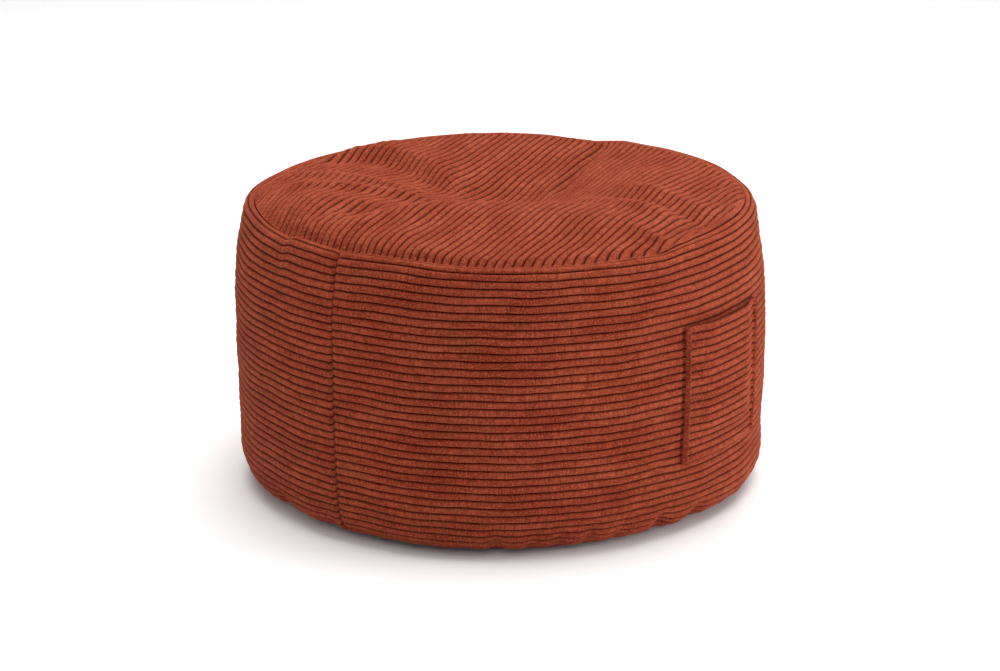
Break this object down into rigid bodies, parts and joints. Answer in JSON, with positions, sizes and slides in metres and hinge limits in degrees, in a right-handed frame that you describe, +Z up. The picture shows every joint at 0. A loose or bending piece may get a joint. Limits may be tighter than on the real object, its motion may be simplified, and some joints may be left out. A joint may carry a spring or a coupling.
{
  "type": "bean bag footstool",
  "caption": "Round bean bag footstool in rust wide-wale corduroy, with a softly creased top, a seamed side wall and an open patch pocket",
  "frame": {"origin": "middle of the flat base, on the surface that the stool stands on", "axes": "+Z up; -Y out through the middle of the pocket; the wall's upright seam is on the -X side"},
  "size_m": [0.5501, 0.5604, 0.3218],
  "materials": {
    "top_corduroy": "wide-wale cotton corduroy, matt pile",
    "wall_corduroy": "wide-wale cotton corduroy, matt pile",
    "base_cloth": "plain woven cotton, matt",
    "pocket_corduroy": "wide-wale cotton corduroy, matt pile"
  },
  "bodies": {
    "root": {"top_panel": "top_corduroy", "side_wall": "wall_corduroy", "base_panel": "base_cloth", "pocket": "pocket_corduroy"}
  },
  "joints": []
}
